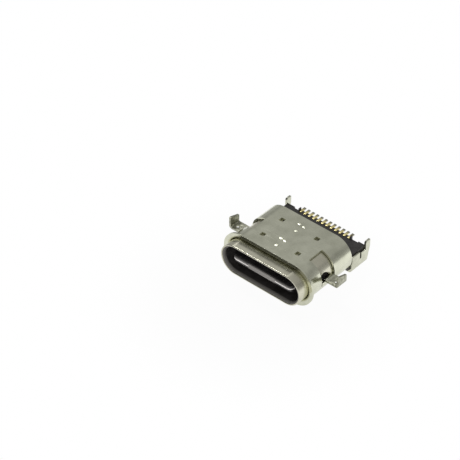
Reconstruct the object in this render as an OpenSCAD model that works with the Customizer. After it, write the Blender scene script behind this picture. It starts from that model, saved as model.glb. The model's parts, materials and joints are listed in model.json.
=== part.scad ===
// USB-C receptacle, mid-mount, 24 contacts, with a flange on the shell that stops a sealing ring.
// Millimetres. The origin is the centre of the mouth: +X across, +Y into the socket,
// +Z towards the circuit board. The smooth face of the shell faces down.

/* [Mouth] */
// Width of the opening that takes the plug
opening_w = 8.34; // [8:0.02:8.8]
// Height of the opening that takes the plug
opening_h = 2.56; // [2.4:0.02:2.8]
// Depth of the opening, from the rim to its floor
mouth_depth = 6.2; // [5.8:0.1:6.6]
// Wall of the moulded liner inside the tube
liner_wall = 0.13; // [0.1:0.01:0.18]
// How far the liner stands back from the rim
liner_setback = 0.06; // [0.04:0.01:0.15]
// Depth of the sloped lead-in at the front of the liner
lead_in = 0.2; // [0.1:0.02:0.4]
// Thickness of the liner's front edge
liner_edge = 0.04; // [0.02:0.01:0.08]

/* [Inner shell] */
// Wall of the drawn tube
tube_wall = 0.15; // [0.12:0.01:0.2]
// How far the drawn tube reaches behind the floor of the mouth
tube_back = 0.3; // [0.22:0.01:0.4]
// Play between pieces that are pressed or moulded together
fit_gap = 0.02; // [0.01:0.005:0.03]
// Diameter of the round hole in each side that locks the liner to the tube
side_lock_d = 1.2; // [0.8:0.05:1.3]
// Where those holes are, from the mouth
side_lock_y = 3.35; // [3.2:0.05:3.6]

/* [Outer shell] */
// Thickness of the sheet
sheet_t = 0.2; // [0.16:0.01:0.24]
// Gap between the tube and the shell
shell_gap = 0.03; // [0.02:0.005:0.06]
// Outer radius of the four long corners
corner_r = 1.75; // [1.6:0.01:1.78]
// How far the tube stands out in front of the flange
collar_len = 1.05; // [0.9:0.01:1.3]
// How far the flange stands out from the shell
flange_out = 0.33; // [0.2:0.01:0.42]
// How far the board side of the shell reaches behind the tube
wrap_back = 0.36; // [0.25:0.01:0.5]
// How far the smooth side of the shell reaches behind its board side
roof_back = 2.34; // [2.3:0.02:2.5]

/* [Cut-outs in the shell] */
// Width of the four square holes
hole_w = 0.46; // [0.3:0.02:0.6]
// Distance between the two columns of square holes
hole_pitch_x = 3.94; // [3:0.02:5]
// Where the front square holes are, from the mouth
hole_front = 2.72; // [2.5:0.02:3.2]
// Distance between the front and the rear square holes
hole_pitch_y = 2.6; // [2:0.05:3]
// Half the width of the face that is left between the two windows
window_x = 3.2; // [3:0.05:3.4]
// Clearance in front of and behind each front leg
leg_relief = 0.26; // [0.2:0.01:0.4]
// Width of the slits at the two ends of a window
slit_w = 0.08; // [0.06:0.01:0.16]
// Depth of the slit at the window's front end
front_slit_deep = 0.33; // [0.2:0.01:0.4]
// Depth of the slit at the window's rear end
rear_slit_deep = 0.1; // [0.05:0.01:0.2]
// Width of the slot between the shell and its rear flaps
slot_w = 0.18; // [0.12:0.01:0.3]
// Half the width of the smooth face between the two slots
slot_x = 3.15; // [3.04:0.01:3.3]

/* [Front legs] */
// Height of the circuit board's near face above the middle of the mouth
board_z = 0.18; // [0.14:0.02:0.28]
// Width of the leg along the socket
leg_w = 1.14; // [0.9:0.02:1.3]
// Where the leg starts, from the mouth
leg_front = 3.08; // [2.9:0.02:3.2]
// Distance between the outer faces of the two bent-up tabs
leg_span = 12.4; // [12:0.1:13]
// Height of the tab's front corner above the board's near face
tab_high = 1; // [0.8:0.05:1.4]
// Fall of the tab's sloping top
tab_fall = 0.3; // [0.1:0.02:0.4]
// Length of the tab's top that is level, at its front
tab_level = 0.2; // [0.1:0.02:0.4]
// Inner radius of the bends
bend_r = 0.1; // [0.08:0.01:0.14]
// Diameter of the hole in the leg
leg_hole_d = 0.34; // [0.2:0.02:0.5]
// Distance of that hole from the tab's outer face
leg_hole_in = 0.6; // [0.52:0.02:0.8]
// Distance of that hole from the leg's front edge
leg_hole_back = 0.5; // [0.4:0.01:0.6]

/* [Rear legs and flaps] */
// Distance between the outer faces of the two flaps
flap_span = 9.24; // [9.1:0.02:9.3]
// Outer radius of the bend between the smooth face and a flap
flap_r = 0.45; // [0.3:0.05:0.7]
// Width of the rear leg along the socket
rear_leg_w = 0.6; // [0.45:0.01:0.7]
// How far the rear leg stands out behind the smooth face
rear_leg_out = 0.32; // [0.2:0.02:0.4]
// Height of the rear leg above the board's near face
rear_leg_high = 0.44; // [0.3:0.02:1]
// Length of the rear leg's slanted tip
rear_leg_slant = 0.12; // [0.04:0.02:0.2]
// How far the front part of the flap's edge is below the middle of the mouth
flap_edge = 0.05; // [0:0.01:0.12]
// How much lower the flap's edge is next to the leg
flap_step = 0.18; // [0.05:0.01:0.3]
// Width of the notch in the flap
flap_notch_w = 0.2; // [0.12:0.01:0.3]
// Depth of the notch, from the flap's front edge
flap_notch_deep = 0.73; // [0.4:0.01:0.9]
// Length of the flap in front of the notch
flap_front_len = 1.08; // [0.8:0.02:1.2]

/* [Rear tabs] */
// Width of each bent-up tab at the rear
rear_tab_w = 0.5; // [0.4:0.02:0.6]
// Distance of the tab from the middle of the socket
rear_tab_x = 3.08; // [3.02:0.01:3.2]
// Height of the tab above the smooth face
rear_tab_high = 1.44; // [1:0.02:1.5]
// Width of the notch at the inner side of the tab
tab_notch_w = 0.34; // [0.2:0.01:0.4]
// Depth of the notches beside the tab
tab_notch_deep = 0.34; // [0.3:0.01:0.45]

/* [Tongue] */
// Width of the tongue
tongue_w = 6.69; // [6.4:0.01:6.8]
// Thickness of the tongue
tongue_t = 0.7; // [0.66:0.01:0.8]
// How far the tongue's tip is inside the rim
tongue_in = 0.26; // [0.2:0.02:0.8]
// Thickness of the tongue's tip
tip_t = 0.44; // [0.36:0.02:0.6]
// Length of the tongue's tapered tip
tip_len = 0.22; // [0.1:0.02:0.4]
// Radius of the tongue's front corners
tongue_corner_r = 0.45; // [0.2:0.05:0.7]
// Length of the thick root of the tongue, up to the floor of the mouth
root_len = 1.3; // [1:0.05:1.6]
// Thickness of the root
root_t = 1.2; // [1.1:0.02:1.4]
// How far the root reaches behind the floor of the mouth, to the contact wafers
root_back = 0.14; // [0.12:0.01:0.2]
// Thickness of the shield plate in the middle of the tongue
plate_t = 0.15; // [0.1:0.01:0.2]
// Where the shield plate starts, from the mouth
plate_front = 1; // [0.8:0.05:1.5]
// How far the shield plate reaches into the wafers
plate_tail = 0.4; // [0.3:0.02:0.45]
// Distance of the latch notches behind the plate's front
latch_back = 0.8; // [0.6:0.05:1]
// Length of the latch notches in the plate's two edges
latch_len = 0.8; // [0.5:0.05:1]
// Depth of the latch notches
latch_deep = 0.2; // [0.1:0.02:0.3]
// Thickness of the ground pads on the root
pad_t = 0.1; // [0.06:0.01:0.14]
// Width of the ground pads
pad_w = 6.2; // [5.6:0.05:6.4]
// Width of the two slots in a ground pad
pad_slot_w = 1.24; // [0.8:0.02:1.4]
// Length of those slots
pad_slot_len = 0.4; // [0.2:0.05:0.5]
// Distance of those slots from the pad's front edge
pad_slot_back = 0.35; // [0.2:0.05:0.5]
// Distance between the centres of the two slots
pad_slot_pitch = 3.1; // [2.4:0.1:3.6]

/* [Contacts] */
// Distance between neighbouring contacts
pitch = 0.5; // [0.48:0.005:0.51]
// Width of a contact
contact_w = 0.25; // [0.18:0.01:0.28]
// Thickness of a contact
contact_t = 0.12; // [0.1:0.01:0.14]
// Where the long ground and power contacts start, from the mouth
long_front = 1.5; // [1.3:0.05:1.7]
// How much farther back the signal contacts start
signal_back = 0.5; // [0.2:0.05:0.9]
// Distance of the upper row's rising tails from the rear end of the smooth face
rise_in = 0.39; // [0.34:0.01:0.44]
// How far the upper row's tails reach behind the smooth face
upper_tail_out = 0.32; // [0.2:0.02:0.5]
// How far the lower row's tails reach behind the shell's board side
lower_tail_out = 1.29; // [1:0.02:1.5]
// How far behind the shell's board side those tails step up to the board
lower_step_back = 0.14; // [0.1:0.01:0.3]

/* [Housing] */
// Height of the rear block's top below the board
block_drop = 0.06; // [0.03:0.01:0.1]
// Distance of the rear block's end from the rear end of the smooth face
block_in = 0.1; // [0.04:0.01:0.14]
// The same for the rear block's two outer parts
side_block_in = 0.06; // [0.02:0.01:0.16]
// Gap between those outer parts and the rear tabs
side_block_gap = 0.06; // [0.04:0.01:0.12]
// How much lower those outer parts are than the middle part
side_block_drop = 0.1; // [0.04:0.02:0.2]
// Half the width of the rear block's middle part
block_x = 2.98; // [2.95:0.01:3]
// Height of the small end ribs beside the leads
rib_high = 0.26; // [0.1:0.02:0.4]
// Width of the end ribs
rib_w = 0.1; // [0.06:0.01:0.12]
// Length of the end ribs
rib_len = 0.3; // [0.2:0.02:0.5]
// Half the height of the contact wafers
wafer_z = 0.95; // [0.85:0.05:1.1]
// Distance of the upper row's wafer from the rear end of the smooth face
wafer_in = 0.8; // [0.7:0.05:1]
// Width of the potting compound at the rear
potting_w = 5.46; // [5:0.02:5.6]
// Depth of the potting compound
potting_deep = 0.35; // [0.2:0.01:0.5]
// Height of the potting compound
potting_high = 0.95; // [0.7:0.05:1]

/* [Hidden] */
$fn = 64;
// Overshoot of a cutter past the face that it opens
over = 0.5;

// Contacts in each row
contacts_per_row = 12;

// Outer sizes of the liner, the tube and the shell, from the inside out
liner_w = opening_w + 2 * liner_wall;
liner_h = opening_h + 2 * liner_wall;
tube_in_w = liner_w + 2 * fit_gap;
tube_in_h = liner_h + 2 * fit_gap;
tube_w = tube_in_w + 2 * tube_wall;
tube_h = tube_in_h + 2 * tube_wall;
shell_in_w = tube_w + 2 * shell_gap;
shell_in_h = tube_h + 2 * shell_gap;
shell_w = shell_in_w + 2 * sheet_t;
shell_h = shell_in_h + 2 * sheet_t;

// Depths that follow from the mouth's floor, from the front to the rear
root_start = mouth_depth - root_len;
root_end = mouth_depth + root_back;
tube_len = mouth_depth + tube_back;
wrap_end = tube_len + wrap_back;
lower_tail_end = wrap_end + lower_tail_out;
roof_end = wrap_end + roof_back;
wafer_end = roof_end - wafer_in;
upper_rise = roof_end - rise_in;
block_end = roof_end - block_in;
side_block_end = roof_end - side_block_in;
upper_tail_end = roof_end + upper_tail_out;

// The window and the two slits round a front leg
window_front = leg_front - leg_relief - slit_w;
window_end = leg_front + leg_w + leg_relief;
window_z = board_z - sheet_t - bend_r;

// Heights at the rear
block_z = board_z - block_drop;
flap_z = -flap_edge;
rear_leg_tip_z = board_z + rear_leg_high;
rear_leg_end = roof_end + rear_leg_out;
tab_face_y = roof_end - sheet_t;

// Centre lines of the two contact rows inside the tongue, and of their tails
row_z = (tongue_t - contact_t) / 2;
tail_z = board_z - contact_t / 2;
lower_step = wrap_end + lower_step_back;

// Place of the power contact, counted from the nearer end of its row
power_place = 4;

// ---- Shared shapes ----

// Carries a side view, drawn as [depth, height], across the socket
module across(width, x = 0) {
    translate([x, 0, 0]) rotate([90, 0, 90])
        linear_extrude(width, center = true) children();
}

// A block between two depths, centred on X
module slab(width, y0, y1, z0, z1, x = 0) {
    translate([x - width / 2, y0, z0]) cube([width, y1 - y0, z1 - z0]);
}

// The same on the right and on the left
module both_sides() {
    children();
    mirror([1, 0, 0]) children();
}

// Runs a wall section, drawn as [distance from the corner's centre, depth], round a
// rounded rectangle
module ring(w, h, r) {
    rotate([-90, 0, 0]) {
        for (turn = [0:3]) {
            sx = turn == 0 || turn == 3 ? 1 : -1;
            sy = turn < 2 ? 1 : -1;
            translate([sx * (w / 2 - r), sy * (h / 2 - r), 0])
                rotate([0, 0, 90 * turn]) rotate_extrude(angle = 90) children();
        }
        for (half = [0, 180]) rotate([0, 0, half]) {
            if (h > 2 * r)
                translate([w / 2 - r, h / 2 - r, 0]) rotate([90, 0, 0])
                    linear_extrude(h - 2 * r) children();
            translate([r - w / 2, h / 2 - r, 0]) rotate([90, 0, 90])
                linear_extrude(w - 2 * r) children();
        }
    }
}

// A solid bar with a rounded rectangle as its section
module bar(w, h, r, y0, y1) {
    slab(w - 2 * r, y0, y1, -h / 2, h / 2);
    if (h > 2 * r) slab(w, y0, y1, r - h / 2, h / 2 - r);
    for (sx = [-1, 1], sz = h > 2 * r ? [-1, 1] : [0])
        translate([sx * (w / 2 - r), y0, sz * (h / 2 - r)])
            rotate([-90, 0, 0]) cylinder(r = r, h = y1 - y0);
}

// Quarter of a bent strip, with its centre at the origin and open towards +x and +y
module bend() {
    intersection() {
        difference() {
            circle(r = bend_r + sheet_t);
            circle(r = bend_r);
        }
        translate([-bend_r - sheet_t, 0]) square(bend_r + sheet_t);
    }
}

// ---- Contacts ----

function side_normal(a, b) = [a[1] - b[1], b[0] - a[0]] / norm(b - a);
function mitre(path, i) =
    let (
        last = len(path) - 1,
        before = side_normal(path[max(i, 1) - 1], path[max(i, 1)]),
        after = side_normal(path[min(i, last - 1)], path[min(i, last - 1) + 1])
    )
    (before + after) / (1 + before * after);
// Outline of a strip of even thickness along a path
function strip(path, t) = concat(
    [for (i = [0:len(path) - 1]) path[i] + mitre(path, i) * t / 2],
    [for (i = [len(path) - 1:-1:0]) path[i] - mitre(path, i) * t / 2]
);

// The ground contacts at the ends and the power contacts are the long ones
function place_from_end(n) = min(n, contacts_per_row + 1 - n);
function is_long(n) = place_from_end(n) == 1 || place_from_end(n) == power_place;
function contact_front(n) = long_front + (is_long(n) ? 0 : signal_back);
// The lower row is numbered from the other side
function contact_x(n, lower = false) =
    (lower ? -1 : 1) * (n - (contacts_per_row + 1) / 2) * pitch;

// The upper row lies on the smooth side of the tongue
function upper_path(n) = [
    [contact_front(n), -row_z], [upper_rise, -row_z],
    [upper_rise, tail_z], [upper_tail_end, tail_z]
];
// The lower row lies on the board side
function lower_path(n) = [
    [contact_front(n), row_z], [lower_step, row_z],
    [lower_step + row_z - tail_z, tail_z], [lower_tail_end, tail_z]
];

module upper_contact(n) {
    color("goldenrod")
        across(contact_w, contact_x(n)) polygon(strip(upper_path(n), contact_t));
}

module lower_contact(n) {
    color("goldenrod")
        across(contact_w, contact_x(n, true)) polygon(strip(lower_path(n), contact_t));
}

module upper_row() { for (n = [1:contacts_per_row]) upper_contact(n); }
module lower_row() { for (n = [1:contacts_per_row]) lower_contact(n); }

// ---- Shells ----

// Square holes through both shells on the board side
module square_holes() {
    for (sx = [-1, 1], y = [hole_front, hole_front + hole_pitch_y])
        slab(hole_w, y - hole_w / 2, y + hole_w / 2, opening_h / 2 + liner_wall + fit_gap / 2,
             shell_h, sx * hole_pitch_x / 2);
}

module inner_shell() {
    color("silver") difference() {
        ring(tube_w, tube_h, tube_h / 2)
            union() {
                translate([tube_in_h / 2, tube_wall / 2])
                    square([tube_wall, tube_len - tube_wall / 2]);
                translate([tube_in_h / 2 + tube_wall / 2, tube_wall / 2])
                    circle(d = tube_wall);
            }
        square_holes();
        // Locks for the liner in the two sides
        translate([0, side_lock_y, 0]) rotate([0, 90, 0])
            cylinder(d = side_lock_d, h = 2 * shell_w, center = true);
    }
}

// Wall section of the outer shell, with the flange bent out in front
module shell_wall() {
    bend_y = collar_len + sheet_t + bend_r;
    translate([corner_r - sheet_t, bend_y]) square([sheet_t, wrap_end - bend_y]);
    translate([corner_r + bend_r, bend_y]) rotate(90) bend();
    translate([corner_r + bend_r, collar_len]) square([flange_out - bend_r, sheet_t]);
}

// Wall section of the smooth face and the flaps behind the wrapped part
module rear_wall() {
    translate([flap_r - sheet_t, wrap_end]) square([sheet_t, roof_end - wrap_end]);
}

// Front leg seen from the front: wall, bend, plate, bend and tab
module leg_section() {
    wall_x = shell_w / 2;
    plate_z = board_z - sheet_t;
    tab_x = leg_span / 2 - sheet_t;
    translate([wall_x + bend_r, plate_z - bend_r]) bend();
    translate([wall_x + bend_r, plate_z])
        square([tab_x - wall_x - 2 * bend_r, sheet_t]);
    translate([tab_x - bend_r, board_z + bend_r]) rotate(180) bend();
    translate([tab_x, board_z + bend_r]) square([sheet_t, tab_high - bend_r]);
}

module front_leg() {
    difference() {
        translate([0, leg_front + leg_w, 0]) rotate([90, 0, 0])
            linear_extrude(leg_w) leg_section();
        // The tab's top slopes down towards the rear
        across(leg_span, leg_span / 2)
            polygon([
                [leg_front + tab_level, board_z + tab_high],
                [leg_front + leg_w, board_z + tab_high - tab_fall],
                [leg_front + leg_w + over, board_z + tab_high - tab_fall],
                [leg_front + leg_w + over, board_z + tab_high + over],
                [leg_front + tab_level, board_z + tab_high + over]
            ]);
        translate([leg_span / 2 - leg_hole_in, leg_front + leg_hole_back, board_z - 2 * sheet_t])
            cylinder(d = leg_hole_d, h = 3 * sheet_t);
    }
}

// Window and slits that the leg was cut from
module leg_window() {
    cut_x = window_x + shell_w / 2;
    slab(shell_w, window_front, window_end, window_z, shell_h, cut_x);
    slab(shell_w, window_front, window_front + slit_w, window_z - front_slit_deep, shell_h, cut_x);
    slab(shell_w, window_end - slit_w, window_end, window_z - rear_slit_deep, shell_h, cut_x);
}

// Rear leg, standing on the flap's flat side
module rear_leg() {
    foot_z = flap_r - shell_h / 2;
    leg_start = rear_leg_end - rear_leg_w;
    across(sheet_t, (flap_span - sheet_t) / 2)
        polygon([
            [leg_start, foot_z], [roof_end, foot_z], [rear_leg_end, flap_z],
            [rear_leg_end, rear_leg_tip_z], [leg_start + rear_leg_slant, rear_leg_tip_z],
            [leg_start, rear_leg_tip_z - rear_leg_slant]
        ]);
}

// Tab bent up from the rear edge of the smooth face
module rear_tab() {
    across(rear_tab_w, rear_tab_x + rear_tab_w / 2) {
        translate([tab_face_y - bend_r, bend_r + sheet_t - shell_h / 2]) rotate(180) bend();
        translate([tab_face_y, bend_r + sheet_t - shell_h / 2])
            square([sheet_t, rear_tab_high - bend_r - sheet_t]);
    }
}

// What is taken away behind the wrapped part of the shell
module rear_cuts() {
    flap_start = wrap_end + slot_w;
    notch_start = flap_start + flap_front_len;
    leg_start = rear_leg_end - rear_leg_w;
    slab(2 * shell_w, wrap_end, roof_end + over, flap_z, shell_h);
    both_sides() {
        slab(shell_w, wrap_end, flap_start, -shell_h, flap_z + over, slot_x + shell_w / 2);
        slab(over, notch_start, notch_start + flap_notch_w, flap_z - flap_notch_deep,
             over, flap_span / 2);
        slab(over, notch_start + flap_notch_w / 2, leg_start, flap_z - flap_step,
             over, flap_span / 2);
        // Room for the rear tab's bend, and the notches beside it
        slab(rear_tab_w + tab_notch_w + fit_gap, roof_end - tab_notch_deep, roof_end + over,
             -shell_h, 0, rear_tab_x + (rear_tab_w - tab_notch_w + fit_gap) / 2);
    }
}

module outer_shell() {
    color("darkgray") {
        difference() {
            ring(shell_w, shell_h, corner_r) shell_wall();
            both_sides() leg_window();
            square_holes();
        }
        difference() {
            ring(flap_span, shell_h, flap_r) rear_wall();
            rear_cuts();
        }
        both_sides() {
            front_leg();
            rear_leg();
            rear_tab();
            // Strip of the smooth face that carries the rear tab
            slab(rear_tab_w, roof_end - tab_notch_deep, tab_face_y - bend_r, -shell_h / 2,
                 sheet_t - shell_h / 2, rear_tab_x + rear_tab_w / 2);
        }
    }
}

// ---- Mouldings ----

// Plan of the tongue, with rounded front corners
module tongue_plan(w, y0, y1, r) {
    translate([-w / 2, y0 + r]) square([w, y1 - y0 - r]);
    translate([r - w / 2, y0]) square([w - 2 * r, y1 - y0]);
    for (sx = [-1, 1]) translate([sx * (w / 2 - r), y0 + r]) circle(r = r);
}

module shield_plate() {
    color("gainsboro") difference() {
        translate([0, 0, -plate_t / 2]) linear_extrude(plate_t)
            tongue_plan(tongue_w, plate_front, root_end + plate_tail, tongue_corner_r);
        // Latch notches in the plate's two edges
        both_sides()
            slab(2 * latch_deep, plate_front + latch_back, plate_front + latch_back + latch_len,
                 -plate_t, plate_t, tongue_w / 2);
    }
}

module tongue() {
    tip_y = tongue_in + tip_len;
    color([0.1, 0.1, 0.1]) difference() {
        union() {
            intersection() {
                across(tongue_w + over)
                    polygon([
                        [tongue_in, -tip_t / 2], [tip_y, -tongue_t / 2], [root_end, -tongue_t / 2],
                        [root_end, tongue_t / 2], [tip_y, tongue_t / 2], [tongue_in, tip_t / 2]
                    ]);
                translate([0, 0, -tongue_t]) linear_extrude(2 * tongue_t)
                    tongue_plan(tongue_w, tongue_in, root_end, tongue_corner_r);
            }
            slab(tongue_w, root_start, root_end, -root_t / 2, root_t / 2);
        }
        shield_plate();
        upper_row();
        lower_row();
    }
}

module ground_pad(side) {
    z = side * (root_t + pad_t) / 2;
    color("gainsboro") difference() {
        slab(pad_w, root_start, mouth_depth - fit_gap, z - pad_t / 2, z + pad_t / 2);
        both_sides()
            slab(pad_slot_w, root_start + pad_slot_back, root_start + pad_slot_back + pad_slot_len,
                 z - pad_t, z + pad_t, pad_slot_pitch / 2);
    }
}

module upper_wafer() {
    color([0.16, 0.16, 0.15]) difference() {
        slab(tongue_w, root_end, wafer_end, -wafer_z, -plate_t / 2);
        upper_row();
    }
}

module lower_wafer() {
    color([0.16, 0.16, 0.15]) difference() {
        slab(tongue_w, root_end, wrap_end, plate_t / 2, wafer_z);
        lower_row();
    }
}

module rear_potting() {
    color([0.25, 0.24, 0.24])
        slab(potting_w, block_end - potting_deep, block_end,
             -row_z - contact_t - potting_high, -row_z - contact_t);
}

// Everything that sits inside the housing behind the mouth
module housing_pockets() {
    pocket_w = tongue_w + 2 * fit_gap;
    slab(pocket_w, mouth_depth - fit_gap, root_end,
         -root_t / 2 - fit_gap, root_t / 2 + fit_gap);
    slab(pocket_w, root_end - fit_gap, wafer_end + fit_gap,
         -wafer_z - fit_gap, -plate_t / 2 + fit_gap);
    slab(pocket_w, root_end - fit_gap, wrap_end + over, -plate_t, wafer_z + fit_gap);
    upper_row();
    lower_row();
    rear_potting();
}

module housing() {
    wide = shell_in_w - 2 * fit_gap;
    tall = shell_in_h - 2 * fit_gap;
    rear_wide = flap_span - 2 * sheet_t - 2 * fit_gap;
    side_block_x = rear_tab_x + rear_tab_w + side_block_gap;
    color([0.12, 0.12, 0.11]) difference() {
        union() {
            // Liner of the mouth, with its sloped lead-in
            ring(liner_w, liner_h, liner_h / 2)
                polygon([
                    [liner_h / 2, liner_setback], [liner_h / 2, tube_len],
                    [opening_h / 2, tube_len], [opening_h / 2, liner_setback + lead_in],
                    [liner_h / 2 - liner_edge, liner_setback]
                ]);
            // Floor of the mouth, and the block behind the tube
            bar(liner_w, liner_h, liner_h / 2, mouth_depth, tube_len + fit_gap);
            bar(wide, tall, corner_r - sheet_t - fit_gap, tube_len + fit_gap, wrap_end);
            // Rear block under the board
            intersection() {
                bar(rear_wide, tall, flap_r - sheet_t, wrap_end, side_block_end);
                union() {
                    slab(rear_wide, wrap_end, tab_face_y - bend_r, -tall, block_z);
                    both_sides()
                        slab(shell_w, wrap_end, side_block_end, -tall,
                             block_z - side_block_drop, side_block_x + shell_w / 2);
                }
            }
            slab(2 * block_x, wrap_end, block_end, -tall / 2, block_z);
            both_sides()
                slab(rib_w, block_end - rib_len, block_end, 0, block_z + rib_high,
                     block_x - rib_w / 2);
        }
        housing_pockets();
    }
}

outer_shell();
inner_shell();
housing();
tongue();
shield_plate();
ground_pad(-1);  // upper_ground_pad
ground_pad(1);  // lower_ground_pad
upper_wafer();
lower_wafer();
rear_potting();
upper_contact(1);  // contact_a1
upper_contact(2);  // contact_a2
upper_contact(3);  // contact_a3
upper_contact(4);  // contact_a4
upper_contact(5);  // contact_a5
upper_contact(6);  // contact_a6
upper_contact(7);  // contact_a7
upper_contact(8);  // contact_a8
upper_contact(9);  // contact_a9
upper_contact(10);  // contact_a10
upper_contact(11);  // contact_a11
upper_contact(12);  // contact_a12
lower_contact(1);  // contact_b1
lower_contact(2);  // contact_b2
lower_contact(3);  // contact_b3
lower_contact(4);  // contact_b4
lower_contact(5);  // contact_b5
lower_contact(6);  // contact_b6
lower_contact(7);  // contact_b7
lower_contact(8);  // contact_b8
lower_contact(9);  // contact_b9
lower_contact(10);  // contact_b10
lower_contact(11);  // contact_b11
lower_contact(12);  // contact_b12
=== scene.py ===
import json
import math

import bpy
from mathutils import Matrix, Vector


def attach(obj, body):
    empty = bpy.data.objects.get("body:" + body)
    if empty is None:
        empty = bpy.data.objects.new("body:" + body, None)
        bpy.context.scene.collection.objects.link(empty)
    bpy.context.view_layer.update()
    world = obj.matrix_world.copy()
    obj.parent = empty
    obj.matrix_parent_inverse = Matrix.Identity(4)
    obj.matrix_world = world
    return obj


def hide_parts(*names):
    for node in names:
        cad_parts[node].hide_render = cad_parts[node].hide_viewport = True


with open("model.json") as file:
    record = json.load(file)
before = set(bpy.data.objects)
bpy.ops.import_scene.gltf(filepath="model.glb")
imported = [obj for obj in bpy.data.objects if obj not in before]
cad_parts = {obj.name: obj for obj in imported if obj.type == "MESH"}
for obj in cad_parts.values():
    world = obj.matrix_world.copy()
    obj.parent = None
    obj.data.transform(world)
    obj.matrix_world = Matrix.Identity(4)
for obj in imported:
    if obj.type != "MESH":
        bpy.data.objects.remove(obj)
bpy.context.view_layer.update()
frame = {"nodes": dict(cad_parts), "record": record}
print("frame loaded:", len(frame["nodes"]), "nodes")

mm = 0.001
touch = 0.001  # how near a point has to be to count as at a place
even = (1, 1, 1)  # a pattern that isn't stretched
white = (1, 1, 1, 1)


def toLinear(red, green, blue):
    # undoes the tone curve of a screen
    def one(value):
        value /= 255
        return value / 12.92 if value <= 0.04045 else ((value + 0.055) / 1.055) ** 2.4
    return (one(red), one(green), one(blue), 1)


# distances, target and shifts in metres, the lens in millimetres as on its ring
camera = {"azimuth": 41.29, "elevation": 40.10, "distance": 0.1724, "lens": 154.4, "sensor": 36,
          "target": (0, 4 * mm, 0), "shiftRight": 0.00519, "shiftUp": -0.001965,
          "nearest": mm, "farthest": 10}


def addCamera(c):
    turn, lift = math.radians(c["azimuth"]), math.radians(c["elevation"])
    back = Vector((math.sin(turn) * math.cos(lift), -math.cos(turn) * math.cos(lift),
                   math.sin(lift)))
    right = Vector((math.cos(turn), math.sin(turn), 0))
    up = back.cross(right)
    place = (Vector(c["target"]) + back * c["distance"]
             - right * c["shiftRight"] - up * c["shiftUp"])
    data = bpy.data.cameras.new("portraitCamera")
    data.sensor_width, data.lens = c["sensor"], c["lens"]
    data.clip_start, data.clip_end = c["nearest"], c["farthest"]
    view = bpy.data.objects.new("portraitCamera", data)
    bpy.context.scene.collection.objects.link(view)
    view.matrix_world = Matrix(((right.x, up.x, back.x, place.x),
                                (right.y, up.y, back.y, place.y),
                                (right.z, up.z, back.z, place.z), (0, 0, 0, 1)))
    bpy.context.scene.camera = view


addCamera(camera)
print("camera placed")


class Wire:
    # one output of a node tree, with arithmetic
    def __init__(self, tree, socket):
        self.tree, self.socket = tree, socket

    def math(self, operation, *values):
        node = self.tree.nodes.new("ShaderNodeMath")
        node.operation = operation
        for slot, value in zip(node.inputs, values):
            plug(self.tree, slot, value)
        return Wire(self.tree, node.outputs[0])

    def __add__(self, other): return self.math("ADD", self, other)
    def __radd__(self, other): return self.math("ADD", other, self)
    def __sub__(self, other): return self.math("SUBTRACT", self, other)
    def __rsub__(self, other): return self.math("SUBTRACT", other, self)
    def __mul__(self, other): return self.math("MULTIPLY", self, other)
    def __rmul__(self, other): return self.math("MULTIPLY", other, self)
    def __truediv__(self, other): return self.math("DIVIDE", self, other)
    def __gt__(self, other): return self.math("GREATER_THAN", self, other)

    def absolute(self):
        return self.math("ABSOLUTE", self)

    def clamped(self):
        return self.math("MINIMUM", self.math("MAXIMUM", self, 0), 1)


def plug(tree, slot, value):
    if isinstance(value, Wire):
        tree.links.new(value.socket, slot)
    else:
        slot.default_value = value


class Finish:
    # a material, or the world, with the nodes that it needs
    def __init__(self, owner):
        owner.use_nodes = True
        self.owner, self.tree = owner, owner.node_tree

    def node(self, kind, settings, inputs, output=0):
        made = self.tree.nodes.new("ShaderNode" + kind)
        for name, value in settings.items():
            setattr(made, name, value)
        for name, value in inputs.items():
            plug(self.tree, made.inputs[name], value)
        return Wire(self.tree, made.outputs[output])

    def parts(self, vector):
        # the three numbers of a vector
        split = self.node("SeparateXYZ", {}, {0: vector})
        return [Wire(self.tree, split.socket.node.outputs[letter]) for letter in "XYZ"]

    def axes(self):
        # where a point of the piece is, in millimetres
        return [part / mm for part in self.parts(self.node("TexCoord", {}, {}, "Object"))]

    def noise(self, size, stretch=even, detail=3, rough=0.55, distort=0.0):
        # size is that of one blotch, in millimetres
        spot = self.node("TexCoord", {}, {}, "Object")
        place = self.node("Mapping", {}, {"Vector": spot, "Scale": stretch})
        return self.node("TexNoise", {}, {"Vector": place, "Scale": 1 / (size * mm),
                                          "Detail": detail, "Roughness": rough,
                                          "Distortion": distort})

    def ramp(self, value, low, high):
        # 0 below low, 1 above high
        return self.node("MapRange", {"interpolation_type": "SMOOTHSTEP"},
                         {"Value": value, "From Min": low, "From Max": high}, "Result")

    def blend(self, factor, first, second):
        node = self.tree.nodes.new("ShaderNodeMix")
        node.data_type = "RGBA"
        factorSlot, firstSlot, secondSlot, result = 0, 6, 7, 2  # the colour ones among its sockets
        for slot, value in ((factorSlot, factor), (firstSlot, first), (secondSlot, second)):
            plug(self.tree, node.inputs[slot], value)
        return Wire(self.tree, node.outputs[result])

    def bump(self, height, depth):
        # depth in millimetres between height 0 and height 1
        return self.node("Bump", {}, {"Height": height, "Distance": depth * mm, "Strength": 1.0})

    def surface(self, values):
        shader = self.tree.nodes["Principled BSDF"]
        for name, value in values.items():
            plug(self.tree, shader.inputs[name], value)
        return self.owner


def newFinish(name):
    return Finish(bpy.data.materials.new(name))


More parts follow.
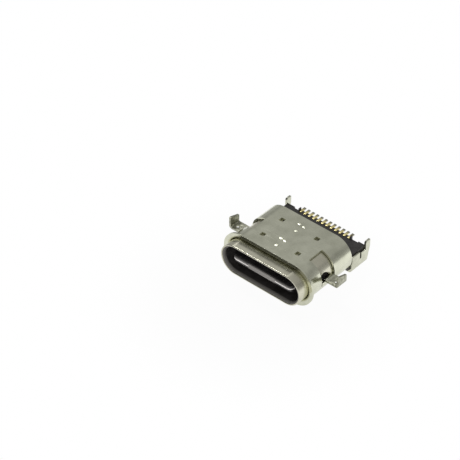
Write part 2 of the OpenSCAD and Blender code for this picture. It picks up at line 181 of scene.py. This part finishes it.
# sheet steel: what the sheets share, then each one's own values
sheetMarks = {"grainSize": 0.05, "grainStretch": (1, 0.05, 1), "cloudSize": 1.6,
              "smudgeSize": 2.6, "smudgeStretch": (1, 1.4, 1), "scratchSize": 0.35,
              "scratchStretch": (0.12, 1.6, 1), "scratchRough": 0.05, "speckSize": 0.06,
              "speck": (120, 116, 100), "speckShare": 0.35}
steel = {"light": (229, 230, 210), "dark": (207, 208, 188), "metal": 1.0, "rough": 0.2,
         "grain": 0.07, "smudge": 0.05, "depth": 0.0012}
tubeSheet = {"light": (230, 228, 208), "dark": (206, 203, 184), "metal": 1.0, "rough": 0.25,
             "grain": 0.04, "smudge": 0.05, "depth": 0.0005}
plateSheet = {"light": (216, 214, 206), "dark": (190, 188, 180), "metal": 1.0, "rough": 0.3,
              "grain": 0.06, "smudge": 0.05, "depth": 0.001}
# the middle plate's front edge is real; its near-white, barely metallic finish is a painted
# highlight
plateEdgeHighlight = {"light": (250, 246, 241), "dark": (238, 233, 228), "metal": 0.25, "rough": 0.36,
             "grain": 0.05, "smudge": 0.04, "depth": 0.001}
# the legs that are soldered have a dull, mottled plating; the rear flaps are made part way darker
# and rougher with the same colour
legPlating = {"legsFrom": 4.75, "legsFade": 0.35, "legsBehind": 2.5, "flapsFrom": 4.3,
              "flapsBehind": 6.95, "flapShare": 0.3, "colour": (152, 152, 136), "least": 0.55,
              "mottleSize": 0.3, "mottle": 0.35, "rough": 0.26, "height": 0.4}


def sheetSteel(name, s, m=sheetMarks, plating=None):
    # cold-rolled: fine grain along the socket, cloudy surface, finger smudges, light scratches
    f = newFinish(name)
    grain = f.noise(m["grainSize"], m["grainStretch"], 4, 0.6)
    cloud = f.noise(m["cloudSize"], even, 4, 0.6)
    smudge = f.ramp(f.noise(m["smudgeSize"], m["smudgeStretch"], 3, 0.5, 0.6), 0.5, 0.72)
    scratch = f.ramp(f.noise(m["scratchSize"], m["scratchStretch"], 2, 0.4, 0.2), 0.66, 0.7)
    speck = f.ramp(f.noise(m["speckSize"], even, 2, 0.5), 0.72, 0.78)
    colour = f.blend(f.ramp(cloud, 0.3, 0.75), toLinear(*s["light"]), toLinear(*s["dark"]))
    colour = f.blend(speck * m["speckShare"], colour, toLinear(*m["speck"]))
    rough = s["rough"] + (grain - 0.5) * s["grain"] * 2
    rough = rough + smudge * s["smudge"] + scratch * m["scratchRough"]
    height = grain * 0.7 + cloud * 0.3 - scratch * 0.25
    if plating:
        p = plating
        across, along = f.axes()[:2]
        across = across.absolute()
        legs = f.ramp(across, p["legsFrom"], p["legsFrom"] + p["legsFade"])
        legs = legs * (along > p["legsBehind"])
        # the rear flaps get a share of the dull colour and roughness, which darkens them
        flaps = (across > p["flapsFrom"]) * (along > p["flapsBehind"])
        plated = (legs + flaps * p["flapShare"]).clamped()
        mottle = f.ramp(f.noise(p["mottleSize"], even, 2, 0.5), 0.3, 0.7)
        colour = f.blend(plated * (p["least"] + mottle * p["mottle"]), colour,
                         toLinear(*p["colour"]))
        rough = rough + plated * p["rough"] * (0.5 + mottle)
        height = height + plated * mottle * p["height"]
    return f.surface({"Metallic": s["metal"], "Base Color": colour, "Roughness": rough.clamped(),
                      "Normal": f.bump(height, s["depth"])})


shellSteel = sheetSteel("shellSteel", steel, plating=legPlating)
tubeSteel = sheetSteel("tubeSteel", tubeSheet)
shieldSteel = sheetSteel("shieldSteel", plateSheet)
highlightEdgeSteel = sheetSteel("highlightEdgeSteel", plateEdgeHighlight)  # painted highlight: near-white and barely metallic, so the plate's front edge looks bright from every side

# glass-filled nylon: what the two mouldings share, then each one's own values
mouldMarks = {"cloudSize": 0.9, "gritSize": 0.035, "fibreSize": 0.08,
              "fibreStretch": (1, 0.25, 1), "fibre": (120, 118, 100), "fibreShare": 0.25,
              "paintedSheenFade": 0.16, "paintedSheenShare": 0.8}
# in each of these the pale grey for the front is painted sheen on the mouth and on the tongue's
# front edge
plastic = {"light": (62, 59, 58), "dark": (44, 42, 40), "rough": 0.42, "depth": 0.002,
           "paintedSheen": (136, 133, 128), "paintedSheenTo": 0.42}
tonguePlastic = {"light": (52, 50, 50), "dark": (34, 33, 33), "rough": 0.28, "depth": 0.001,
                 "paintedSheen": (162, 158, 153), "paintedSheenTo": 0.4,
                 "middle": 1.65, "middleFade": 0.25, "besideMiddle": 0.45}


def moulding(name, p, m=mouldMarks):
    # mould texture, pale fibre ends, slightly blotchy sheen, and a painted sheen at the front of
    # the mouth
    f = newFinish(name)
    across, along, height = f.axes()
    cloud = f.noise(m["cloudSize"], even, 3)
    grit = f.noise(m["gritSize"], even, 3, 0.6)
    fibre = f.ramp(f.noise(m["fibreSize"], m["fibreStretch"], 2, 0.4, 0.3), 0.68, 0.74)
    colour = f.blend(f.ramp(cloud, 0.35, 0.7), toLinear(*p["dark"]), toLinear(*p["light"]))
    colour = f.blend(fibre * m["fibreShare"], colour, toLinear(*m["fibre"]))
    # painted sheen: the front of the mouth and the tongue's front edge are paled, standing in for
    # the light that gleams on them
    paintedSheen = 1 - f.ramp(along + (cloud - 0.5) * 0.1, p["paintedSheenTo"] - m["paintedSheenFade"],
                        p["paintedSheenTo"])
    if "middle" in p:
        # beside the middle only the upper half of the edge gets the painted sheen
        middle = 1 - f.ramp(across.absolute(), p["middle"] - p["middleFade"], p["middle"])
        paintedSheen = paintedSheen * (middle + (1 - middle) * p["besideMiddle"] * (height > 0))
    colour = f.blend(paintedSheen * m["paintedSheenShare"], colour, toLinear(*p["paintedSheen"]))
    rough = p["rough"] + (cloud - 0.5) * 0.16 + (grit - 0.5) * 0.12
    return f.surface({"Metallic": 0.0, "Specular IOR Level": 0.5, "Base Color": colour,
                      "Roughness": rough.clamped(),
                      "Normal": f.bump(grit + cloud * 0.5, p["depth"])})


blackMoulding = moulding("blackMoulding", plastic)
tongueMoulding = moulding("tongueMoulding", tonguePlastic)

gold = {"bright": (250, 236, 172), "worn": (236, 220, 158), "tin": (176, 174, 158),
        "rough": 0.26, "tinRough": 0.12, "tinnedFrom": 9.24, "tinnedFade": 0.08,
        "cloudSize": 0.5, "cloudStretch": (1, 0.5, 1), "grainSize": 0.03,
        "grainStretch": (1, 0.06, 1), "grain": 0.1, "depth": 0.0008}


def goldPlate(name, g):
    # thin gold over nickel, worn paler in places, and tinned at the soldering tips
    f = newFinish(name)
    along = f.axes()[1]
    cloud = f.noise(g["cloudSize"], g["cloudStretch"], 3)
    grain = f.noise(g["grainSize"], g["grainStretch"], 3)
    tinned = f.ramp(along + (cloud - 0.5) * 0.2, g["tinnedFrom"],
                    g["tinnedFrom"] + g["tinnedFade"])
    colour = f.blend(f.ramp(cloud, 0.4, 0.7), toLinear(*g["bright"]), toLinear(*g["worn"]))
    colour = f.blend(tinned, colour, toLinear(*g["tin"]))
    rough = g["rough"] + (grain - 0.5) * g["grain"] + tinned * g["tinRough"]
    return f.surface({"Metallic": 1.0, "Base Color": colour, "Roughness": rough.clamped(),
                      "Normal": f.bump(grain, g["depth"])})


goldContact = goldPlate("goldContact", gold)

resin = {"dark": (58, 55, 56), "light": (78, 74, 74), "rough": 0.4, "dust": 0.1,
         "waveSize": 1.1, "pitSize": 0.12, "pitRough": 0.3, "depth": 0.01}


def pottedResin(name, r):
    # dark epoxy: soft waves, small pits, dusty surface
    f = newFinish(name)
    wave = f.noise(r["waveSize"], even, 2)
    pit = f.ramp(f.noise(r["pitSize"], even, 1), 0.68, 0.76)
    colour = f.blend(wave, toLinear(*r["dark"]), toLinear(*r["light"]))
    rough = r["rough"] + pit * r["pitRough"] + wave * r["dust"]
    return f.surface({"Metallic": 0.0, "Base Color": colour, "Roughness": rough,
                      "Normal": f.bump(wave * 1.5 - pit * 0.5, r["depth"])})


finishes = {"shell_steel": shellSteel, "tube_steel": tubeSteel, "shield_steel": shieldSteel,
            "black_moulding": blackMoulding, "tongue_moulding": tongueMoulding,
            "potting": pottedResin("pottedResin", resin), "gold_contact": goldContact}
print("finishes made:", len(finishes))


def deselectAll():
    bpy.ops.object.select_all(action="DESELECT")


def pick(obj):
    deselectAll()
    obj.select_set(True)
    bpy.context.view_layer.objects.active = obj


def selectVerts(obj, test):
    # by place in millimetres, in edit mode
    bpy.ops.mesh.select_mode(type="VERT")
    bpy.ops.mesh.select_all(action="DESELECT")
    bpy.ops.object.mode_set(mode="OBJECT")
    for vert in obj.data.vertices:
        vert.select = test(vert.co / mm)
    bpy.ops.object.mode_set(mode="EDIT")


def facedOut(obj):
    # in edit mode
    bpy.ops.mesh.select_all(action="SELECT")
    bpy.ops.mesh.normals_make_consistent(inside=False)


def applied(obj, kind, **settings):
    pick(obj)
    modifier = obj.modifiers.new(kind.lower(), kind)
    for name, value in settings.items():
        setattr(modifier, name, value)
    bpy.ops.object.modifier_apply(modifier=modifier.name)


def softened(obj, width, rows, angle):
    # a small bevel on the edges that are sharper than the angle
    applied(obj, "BEVEL", width=width * mm, segments=rows, limit_method="ANGLE",
            angle_limit=math.radians(angle), use_clamp_overlap=True)


def settled(obj, name):
    # its place goes into its mesh
    pick(obj)
    bpy.ops.object.transform_apply(location=True, rotation=True, scale=True)
    obj.name = name
    return obj


def smoothed(obj, angle):
    pick(obj)
    bpy.ops.object.shade_smooth_by_angle(angle=math.radians(angle))
    applied(obj, "WEIGHTED_NORMAL", mode="FACE_AREA", weight=80, keep_sharp=True)
    return obj


def dress(obj, slot, *nodes, finish=None):
    obj.data.materials.clear()
    obj.data.materials.append(finish or finishes[slot])
    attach(obj, "root")
    if nodes:
        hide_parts(*nodes)
    print(obj.name, len(obj.data.polygons), "faces")


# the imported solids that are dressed: the copy's name, and how far its edges are broken
copies = {"outer_shell": ("foldedShell", 0.025), "housing": ("mouldedHousing", 0.015),
          "tongue": ("contactTongue", 0.02), "shield_plate": ("middlePlate", 0.012),
          "upper_ground_pad": ("upperGroundPad", 0.012),
          "lower_ground_pad": ("lowerGroundPad", 0.012), "upper_wafer": ("upperWafer", 0.02),
          "lower_wafer": ("lowerWafer", 0.02), "rear_potting": ("rearPotting", 0.04)}
copying = {"contactBevel": 0.015, "contactsInRow": 12, "rows": 2, "smoothTo": 32,
           "sameSpot": 1e-6, "flatTo": 0.5}
for row in "ab":
    for count in range(1, copying["contactsInRow"] + 1):
        copies[f"contact_{row}{count}"] = (f"contact{row.upper()}{count}",
                                           copying["contactBevel"])


def softCopy(node, name, bevel, c):
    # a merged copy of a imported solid, with its sharp edges broken by a small bevel
    obj = bpy.data.objects.new(name, frame["nodes"][node].data.copy())
    bpy.context.scene.collection.objects.link(obj)
    pick(obj)
    bpy.ops.object.mode_set(mode="EDIT")
    bpy.ops.mesh.select_all(action="SELECT")
    bpy.ops.mesh.remove_doubles(threshold=c["sameSpot"])
    bpy.ops.mesh.dissolve_limited(angle_limit=math.radians(c["flatTo"]))
    bpy.ops.object.mode_set(mode="OBJECT")
    softened(obj, bevel, c["rows"], c["smoothTo"])
    return smoothed(obj, c["smoothTo"])


slotOf = {part["node"]: part["material_slot"] for part in frame["record"]["subparts"]}
for node, (name, bevel) in copies.items():
    dress(softCopy(node, name, bevel, copying), slotOf[node], node)
print("solids dressed:", len(copies))

# the drawn tube has a rounded front rim, and a lock hole in each side.
# lipShare is how much of the wall each of the rim's two roundings takes
tube = {"width": 8.94, "height": 3.16, "wall": 0.15, "length": 6.5, "steps": 128,
        "lipShare": 0.49, "lipRows": 5, "lockHole": 1.2, "lockAt": 3.35, "lockSteps": 48,
        "lockThrough": 12, "smoothTo": 34}


def drawnTube(t):
    radius, half = t["height"] / 2, (t["width"] - t["height"]) / 2
    deselectAll()
    bpy.ops.mesh.primitive_cylinder_add(vertices=t["steps"], radius=radius * mm,
                                        depth=t["length"] * mm, end_fill_type="NOTHING",
                                        location=(0, t["length"] / 2 * mm, 0),
                                        rotation=(math.pi / 2, math.pi / t["steps"], 0))
    obj = settled(bpy.context.object, "drawnTube")
    bpy.ops.object.mode_set(mode="EDIT")
    for side in (1, -1):
        selectVerts(obj, lambda at: at.x * side > 0)
        bpy.ops.transform.translate(value=(side * half * mm, 0, 0))
    facedOut(obj)
    bpy.ops.object.mode_set(mode="OBJECT")
    applied(obj, "SOLIDIFY", thickness=t["wall"] * mm, offset=-1, use_even_offset=True)
    bpy.ops.object.mode_set(mode="EDIT")
    selectVerts(obj, lambda at: at.y < touch)
    bpy.ops.mesh.bevel(offset=t["wall"] * t["lipShare"] * mm, segments=t["lipRows"],
                       affect="EDGES")
    bpy.ops.object.mode_set(mode="OBJECT")
    deselectAll()
    bpy.ops.mesh.primitive_cylinder_add(vertices=t["lockSteps"], radius=t["lockHole"] / 2 * mm,
                                        depth=t["lockThrough"] * mm,
                                        location=(0, t["lockAt"] * mm, 0),
                                        rotation=(0, math.pi / 2, 0))
    cutter = settled(bpy.context.object, "lockCutter")
    applied(obj, "BOOLEAN", operation="DIFFERENCE", object=cutter, solver="EXACT")
    bpy.data.objects.remove(cutter)
    return smoothed(obj, t["smoothTo"])


dress(drawnTube(tube), "tube_steel", "inner_shell")

# weld nuggets on the board side of the shell: x, y and turn of each. The ball is 1 wide
# before it is scaled, and what stands above flatFrom is pressed down
welds = {"places": [(-0.45, 5.89, 20), (0.10, 5.81, -15), (-0.11, 4.96, 60), (-0.45, 3.38, 10),
                    (0.04, 3.29, -10), (-0.15, 2.39, 55)],
         "long": 0.42, "wide": 0.28, "high": 0.025, "lean": 8, "face": 1.81,
         "segments": 28, "rings": 16, "flatFrom": 0.3, "flattened": 0.35, "smoothTo": 50}


def weldNuggets(w):
    deselectAll()
    bpy.ops.mesh.primitive_uv_sphere_add(segments=w["segments"], ring_count=w["rings"],
                                         radius=0.5 * mm)
    first = bpy.context.object
    bpy.ops.object.mode_set(mode="EDIT")
    bpy.ops.mesh.select_all(action="SELECT")
    bpy.ops.mesh.bisect(plane_co=(0, 0, 0), plane_no=(0, 0, 1), clear_inner=True, use_fill=True)
    # the pool froze nearly flat on top, and leans
    selectVerts(first, lambda at: at.z > w["flatFrom"])
    bpy.ops.transform.resize(value=(1, 1, w["flattened"]),
                             center_override=(0, 0, w["flatFrom"] * mm))
    bpy.ops.object.mode_set(mode="OBJECT")
    nuggets = []
    for x, y, turn in w["places"]:
        nugget = first.copy()
        nugget.data = first.data.copy()
        bpy.context.scene.collection.objects.link(nugget)
        nugget.scale = (w["long"], w["wide"], w["high"] * 2)
        nugget.rotation_mode = "ZYX"  # turned first, so that all lean the same way
        nugget.rotation_euler = (math.radians(w["lean"]), 0, math.radians(turn))
        nugget.location = (x * mm, y * mm, w["face"] * mm)
        nuggets.append(nugget)
    bpy.data.objects.remove(first)
    pick(nuggets[0])
    for nugget in nuggets:
        nugget.select_set(True)
    bpy.ops.object.join()
    return smoothed(settled(bpy.context.object, "weldNuggets"), w["smoothTo"])


dress(weldNuggets(welds), "shell_steel")

# where the middle plate shows at the front of the tongue, beside the middle
plateNose = {"tongueWidth": 6.69, "corner": 0.45, "front": 0.26, "from": 1.6, "proud": 0.012,
             "thick": 0.15, "back": 0.9, "steps": 64, "bevel": 0.02, "bevelRows": 2,
             "bevelFrom": 50, "smoothTo": 40}


def plateFront(n):
    # follows the tongue's rounded front corner, on both sides
    centreX, centreY = n["tongueWidth"] / 2 - n["corner"], n["front"] + n["corner"]
    deselectAll()
    bpy.ops.mesh.primitive_cylinder_add(vertices=n["steps"],
                                        radius=(n["corner"] + n["proud"]) * mm,
                                        depth=n["thick"] * mm,
                                        location=(centreX * mm, centreY * mm, 0))
    obj = settled(bpy.context.object, "plateFrontEdges")
    bpy.ops.object.mode_set(mode="EDIT")
    selectVerts(obj, lambda at: at.x < centreX - touch)
    bpy.ops.transform.translate(value=((n["from"] - centreX) * mm, 0, 0))
    selectVerts(obj, lambda at: at.y > centreY + touch)
    bpy.ops.transform.translate(value=(0, n["back"] * mm, 0))
    bpy.ops.object.mode_set(mode="OBJECT")
    softened(obj, n["bevel"], n["bevelRows"], n["bevelFrom"])
    applied(obj, "MIRROR", use_axis=(True, False, False), use_mirror_merge=False)
    bpy.ops.object.mode_set(mode="EDIT")
    facedOut(obj)
    bpy.ops.object.mode_set(mode="OBJECT")
    return smoothed(obj, n["smoothTo"])


dress(plateFront(plateNose), "shield_steel", finish=highlightEdgeSteel)

# the studio, in metres. A share is how much of the floor's own light replaces its shading
studio = {"floorZ": -2.15 * mm, "floorSize": 4.0, "floorCuts": 8, "colour": (252, 252, 252),
          "rough": 0.8, "nearby": 5 * mm, "shadowReach": 16 * mm, "seenShare": 0.95,
          "mirroredShare": 0.62, "dullStart": -9 * mm, "dullEnd": -26 * mm,
          "dull": (0.34, 0.34, 0.34, 1)}


def addFloor(s):
    deselectAll()
    bpy.ops.mesh.primitive_grid_add(x_subdivisions=s["floorCuts"], y_subdivisions=s["floorCuts"],
                                    size=s["floorSize"], location=(0, 0, s["floorZ"]))
    floor = bpy.context.object
    floor.name = "floor"
    f = newFinish("paleFloor")
    seen, glossy, clear = (f.node("LightPath", {}, {}, "Is " + kind + " Ray")
                           for kind in ("Camera", "Glossy", "Transmission"))
    mirrored = (glossy + clear).clamped()
    spot = f.node("NewGeometry", {}, {}, "Position")
    away = f.node("VectorMath", {"operation": "LENGTH"}, {0: spot}, "Value")
    far = f.ramp(away, s["nearby"], s["shadowReach"])
    f.surface({"Base Color": toLinear(*s["colour"]), "Roughness": s["rough"]})
    # metal sees a duller floor on the left, as if something stood there
    left = 1 - f.ramp(f.parts(spot)[0], s["dullEnd"], s["dullStart"])
    glow = f.node("Emission", {}, {"Color": f.blend(mirrored * left, white, s["dull"]),
                                   "Strength": 1.0})
    share = (seen * (s["seenShare"] + far * (1 - s["seenShare"]))
             + mirrored * (s["mirroredShare"] + far * (1 - s["mirroredShare"])))
    mix = f.node("MixShader", {}, {0: share, 2: glow})
    f.tree.links.new(f.tree.nodes["Principled BSDF"].outputs[0], mix.socket.node.inputs[1])
    f.tree.links.new(mix.socket, f.tree.nodes["Material Output"].inputs[0])
    floor.data.materials.append(f.owner)


# a grey room: brightness by height, and a dark patch in front on the left.
# The pairs say between which parts of a direction one brightness passes into the next
room = {"horizon": 0.4, "dip": 0.29, "above": 0.41, "dipAt": (0.05, 0.4),
        "aboveAt": (0.45, 0.68), "front": 0.05, "frontRight": 0.4, "rightAt": (-0.3, 0.1),
        "frontAt": (-0.35, 0.1), "blue": 0.99}


def addRoom(r):
    world = bpy.data.worlds.new("greyRoom")
    bpy.context.scene.world = world
    w = Finish(world)
    across, depth, height = w.parts(w.node("TexCoord", {}, {}, "Generated"))
    level = r["horizon"] + w.ramp(height, *r["dipAt"]) * (r["dip"] - r["horizon"])
    level = level + w.ramp(height, *r["aboveAt"]) * (r["above"] - r["dip"])
    front = r["front"] + w.ramp(across, *r["rightAt"]) * (r["frontRight"] - r["front"])
    level = front + w.ramp(depth, *r["frontAt"]) * (level - front)
    grey = w.node("CombineXYZ", {}, {0: level, 1: level, 2: level * r["blue"]})
    seen = w.node("LightPath", {}, {}, "Is Camera Ray")
    plug(w.tree, w.tree.nodes["Background"].inputs["Color"], w.blend(seen, grey, white))


# places and sizes in metres, power in watts
lamps = [{"name": "overheadStrip", "place": (-0.1515, 0.066, 0.25), "target": (0, 0.004, 0),
          "size": (0.06, 0.075), "power": 0.17, "mirrored": True},
         # lifts the dark plastics from the front, and doesn't show in the metal
         {"name": "frontFill", "place": (0.10, -0.28, 0.10), "target": (0, 0, 0),
          "size": (0.12, 0.12), "power": 0.36, "mirrored": False}]


def addLamp(name, place, target, size, power, mirrored):
    data = bpy.data.lights.new(name, "AREA")
    data.shape, data.size, data.size_y = "RECTANGLE", size[0], size[1]
    data.energy = power
    lamp = bpy.data.objects.new(name, data)
    lamp.visible_glossy = mirrored
    bpy.context.scene.collection.objects.link(lamp)
    lamp.location = place
    lamp.rotation_euler = (Vector(target) - Vector(place)).to_track_quat("-Z", "Y").to_euler()


addFloor(studio)
addRoom(room)
for lamp in lamps:
    addLamp(**lamp)
bpy.context.scene.view_settings.view_transform = "Standard"
print("studio ready:", len(lamps), "lamps")
